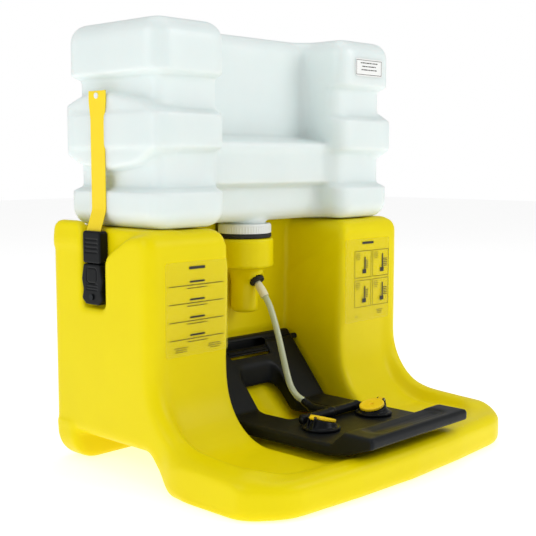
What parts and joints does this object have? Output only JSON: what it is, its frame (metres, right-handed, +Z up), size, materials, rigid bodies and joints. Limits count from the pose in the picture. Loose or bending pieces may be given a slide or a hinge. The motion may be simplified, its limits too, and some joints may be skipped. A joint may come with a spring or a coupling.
{
  "type": "portable gravity-fed eyewash station",
  "caption": "Portable eyewash station: inverted water tank on a moulded stand with a bowl, hold-down straps and a swing-down arm with capped spray heads.",
  "frame": {"origin": "middle of the bounding box at the level the bowl stands on", "axes": "+Z up; the bowl and the arm reach towards -Y; +X is to the right when facing the front from -Y"},
  "size_m": [0.582, 0.476, 0.642],
  "materials": {
    "yellow_shell": "glossy moulded polyethylene",
    "black_plastic": "satin moulded",
    "tank_plastic": "blow-moulded, slightly translucent",
    "white_plastic": "satin moulded",
    "black_rubber": "matte",
    "yellow_strap": "moulded strap",
    "yellow_cap": "satin moulded",
    "clear_tube": "clear flexible tube",
    "film": "clear film",
    "steel": "drawn wire"
  },
  "bodies": {
    "base": {"receiver_shell": "yellow_shell", "vent_plug": "black_plastic", "cup_gasket": "black_rubber", "valve_probe": "white_plastic", "hose_grommet": "black_rubber", "instruction_label_left": "film", "instruction_label_right": "film", "buckle_socket_left": "black_plastic", "buckle_socket_right": "black_plastic", "anchor_rivet_left": "black_plastic", "anchor_rivet_right": "black_plastic", "pivot_pin_left": "black_plastic", "pivot_pin_right": "black_plastic", "supply_tube": "clear_tube"},
    "tank": {"tank_body": "tank_plastic", "tank_label": "white_plastic", "strap_left": "yellow_strap", "strap_right": "yellow_strap", "strap_stud_left": "white_plastic", "strap_stud_right": "white_plastic", "buckle_clip_left": "black_plastic", "buckle_clip_right": "black_plastic", "spring_cage": "white_plastic", "valve_spring": "steel"},
    "cap": {"tank_cap": "white_plastic"},
    "valve": {"valve_poppet": "white_plastic", "valve_seal": "black_rubber"},
    "arm": {"arm_frame": "black_plastic", "spray_head_left": "black_plastic", "spray_head_right": "black_plastic", "nozzle_screen_left": "white_plastic", "nozzle_screen_right": "white_plastic", "cap_pin_left": "steel", "cap_pin_right": "steel", "manifold": "black_plastic"},
    "dust_cap_left": {"dust_cap_left": "yellow_cap"},
    "dust_cap_right": {"dust_cap_right": "yellow_cap"}
  },
  "joints": [
    {"name": "tank_lift", "type": "slide", "parent": "base", "child": "tank", "axis": [0, 0, 1], "range_m": [0, 0.2]},
    {"name": "cap_turn", "type": "hinge", "parent": "tank", "child": "cap", "pos_m": [0, 0.11, 0.34], "axis": [0, 0, 1], "range_deg": [0, 360]},
    {"name": "valve_travel", "type": "slide", "parent": "tank", "child": "valve", "axis": [0, 0, 1], "range_m": [-0.006, 0], "deforming": ["valve_spring"]},
    {"name": "arm_swing", "type": "hinge", "parent": "base", "child": "arm", "pos_m": [0, 0.116, 0.15], "axis": [-1, 0, 0], "range_deg": [0, 86]},
    {"name": "cap_left_flip", "type": "hinge", "parent": "arm", "child": "dust_cap_left", "pos_m": [-0.0798, -0.105, 0.08363], "axis": [0, -1, 0], "range_deg": [0, 100]},
    {"name": "cap_right_flip", "type": "hinge", "parent": "arm", "child": "dust_cap_right", "pos_m": [0.0798, -0.105, 0.08363], "axis": [0, 1, 0], "range_deg": [0, 100]}
  ],
  "couplings": [
    {"joint": "valve_travel", "follows": "tank_lift", "ratio": -0.03}
  ]
}
